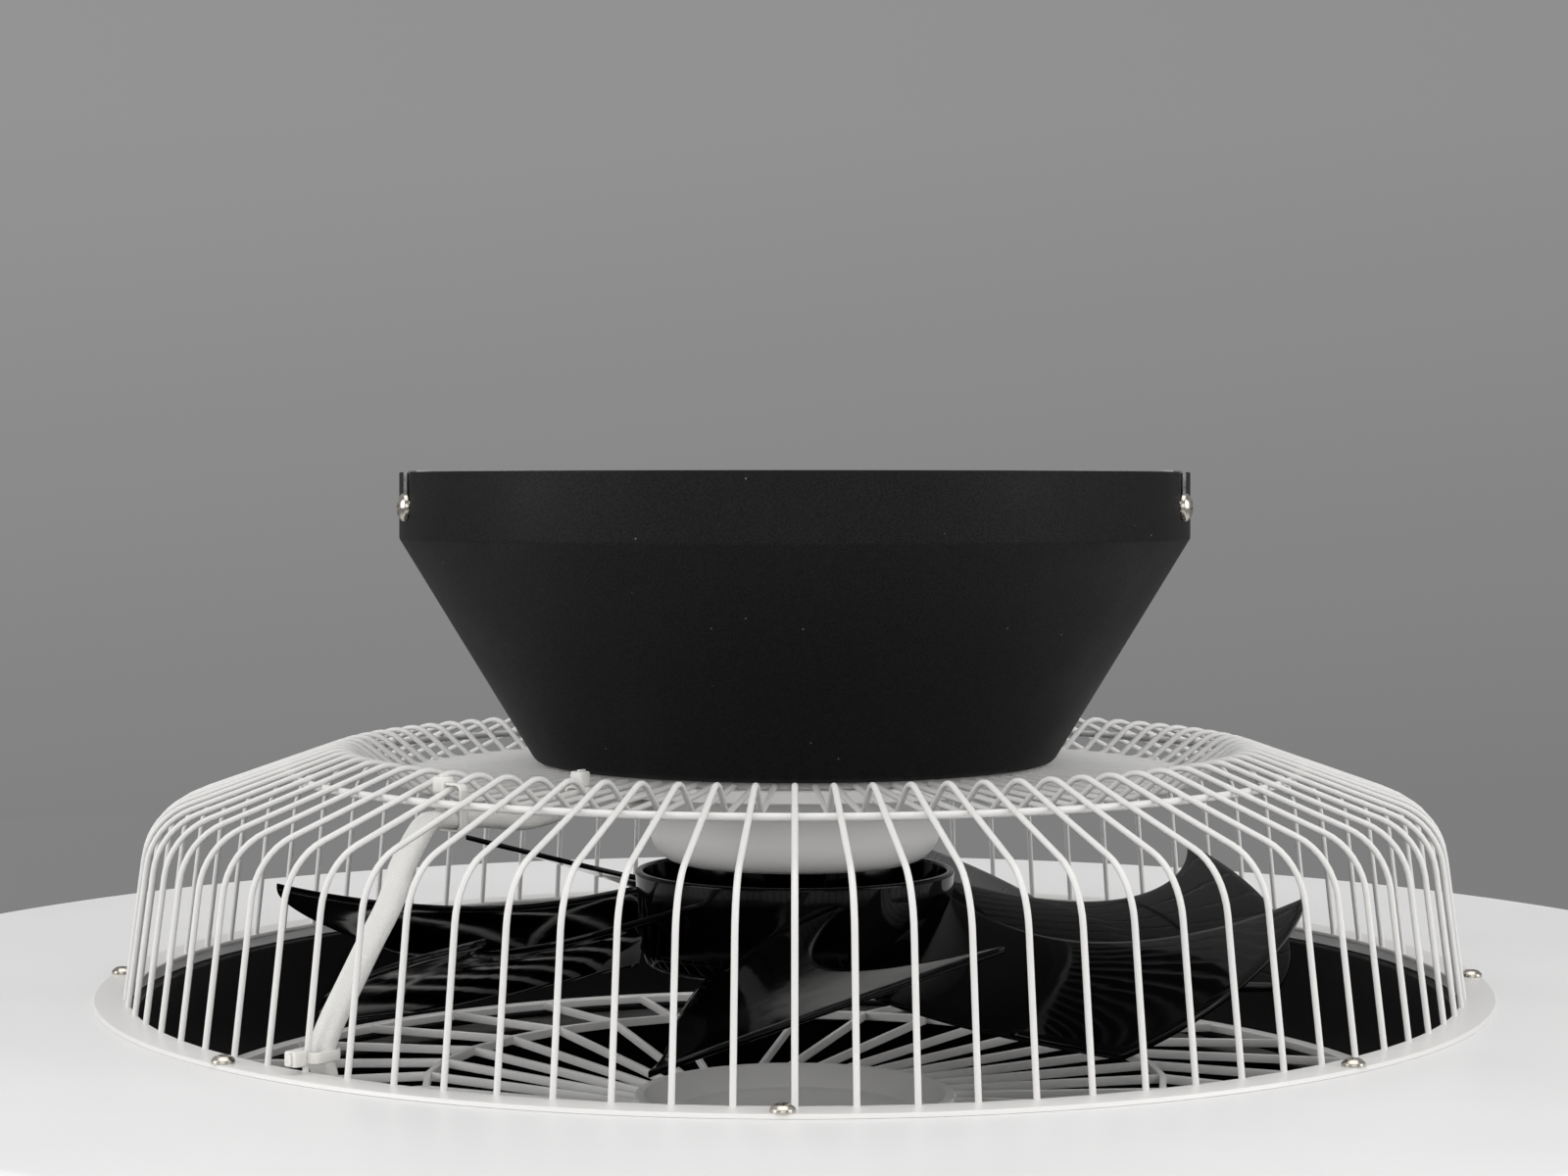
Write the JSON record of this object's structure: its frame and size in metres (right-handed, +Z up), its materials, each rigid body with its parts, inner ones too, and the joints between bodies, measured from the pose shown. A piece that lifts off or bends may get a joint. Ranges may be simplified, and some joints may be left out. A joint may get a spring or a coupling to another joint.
{
  "type": "caged low-profile ceiling fan with light",
  "caption": "Low-profile ceiling fan: canopy bowl, wire cage round a bladed impeller, and a wide round light body with a ducted centre opening.",
  "frame": {"origin": "centre of the ceiling bracket's top face, where it meets the ceiling, on the fan's axis", "axes": "+Z up along the fan's axis towards the ceiling, -Y towards the viewer of the picture, +X to the viewer's right"},
  "size_m": [0.8, 0.8, 0.252],
  "materials": {
    "canopy": "black powder coat, fine texture",
    "white_paint": "white satin paint",
    "pan_paint": "white satin paint",
    "opal": "opal, satin",
    "white_moulding": "satin",
    "moulding": "semi-matt black",
    "gloss_black": "high gloss",
    "board": "white solder mask",
    "nickel": "nickel plated",
    "zinc": "zinc plated",
    "steel": "ground",
    "magnet": "sintered",
    "copper": "enamelled copper wire",
    "braid": "woven sleeve",
    "nylon": "natural nylon",
    "rubber": "moulded"
  },
  "bodies": {
    "fan_body": {"bearing_tube": "zinc", "bottom_grille": "white_moulding", "cable_tie_1": "nylon", "cable_tie_2": "nylon", "cable_tie_3": "nylon", "cage_flange": "white_paint", "cage_sector_1": "white_paint", "cage_sector_2": "white_paint", "cage_sector_3": "white_paint", "cage_sector_4": "white_paint", "canopy_bolt_1": "zinc", "canopy_bolt_2": "zinc", "canopy_bolt_3": "zinc", "canopy_bolt_4": "zinc", "canopy_shell": "canopy", "diffuser": "opal", "duct_ring": "moulding", "fan_controller": "moulding", "flange_screw_1": "nickel", "flange_screw_2": "nickel", "flange_screw_3": "nickel", "flange_screw_4": "nickel", "flange_screw_5": "nickel", "flange_screw_6": "nickel", "flange_screw_7": "nickel", "flange_screw_8": "nickel", "lead_sleeve": "braid", "led_board_1": "board", "led_board_2": "board", "led_board_3": "board", "led_board_4": "board", "led_driver": "white_moulding", "light_pan": "pan_paint", "light_plug": "white_moulding", "lower_bearing": "steel", "lower_grommet": "rubber", "lower_windings": "copper", "motor_housing": "white_paint", "mount_plate": "white_paint", "stator_core": "steel", "terminal_block": "white_moulding", "upper_bearing": "steel", "upper_grommet": "rubber", "upper_windings": "copper"},
    "rotor": {"rotor_can": "steel", "magnet_ring": "magnet", "motor_shaft": "steel", "impeller_nut": "zinc", "shaft_clip": "steel", "impeller": "gloss_black"},
    "bracket": {"ceiling_bracket": "zinc", "bracket_screw_1": "nickel", "bracket_screw_2": "nickel", "bracket_screw_3": "nickel", "bracket_screw_4": "nickel"}
  },
  "joints": [
    {"name": "rotor_spin", "type": "hinge", "parent": "fan_body", "child": "rotor", "pos_m": [0, 0, -0.14], "axis": [0, 0, 1], "continuous": true},
    {"name": "bracket_lift", "type": "slide", "parent": "fan_body", "child": "bracket", "axis": [0, 0, 1], "range_m": [0, 0.04]}
  ]
}
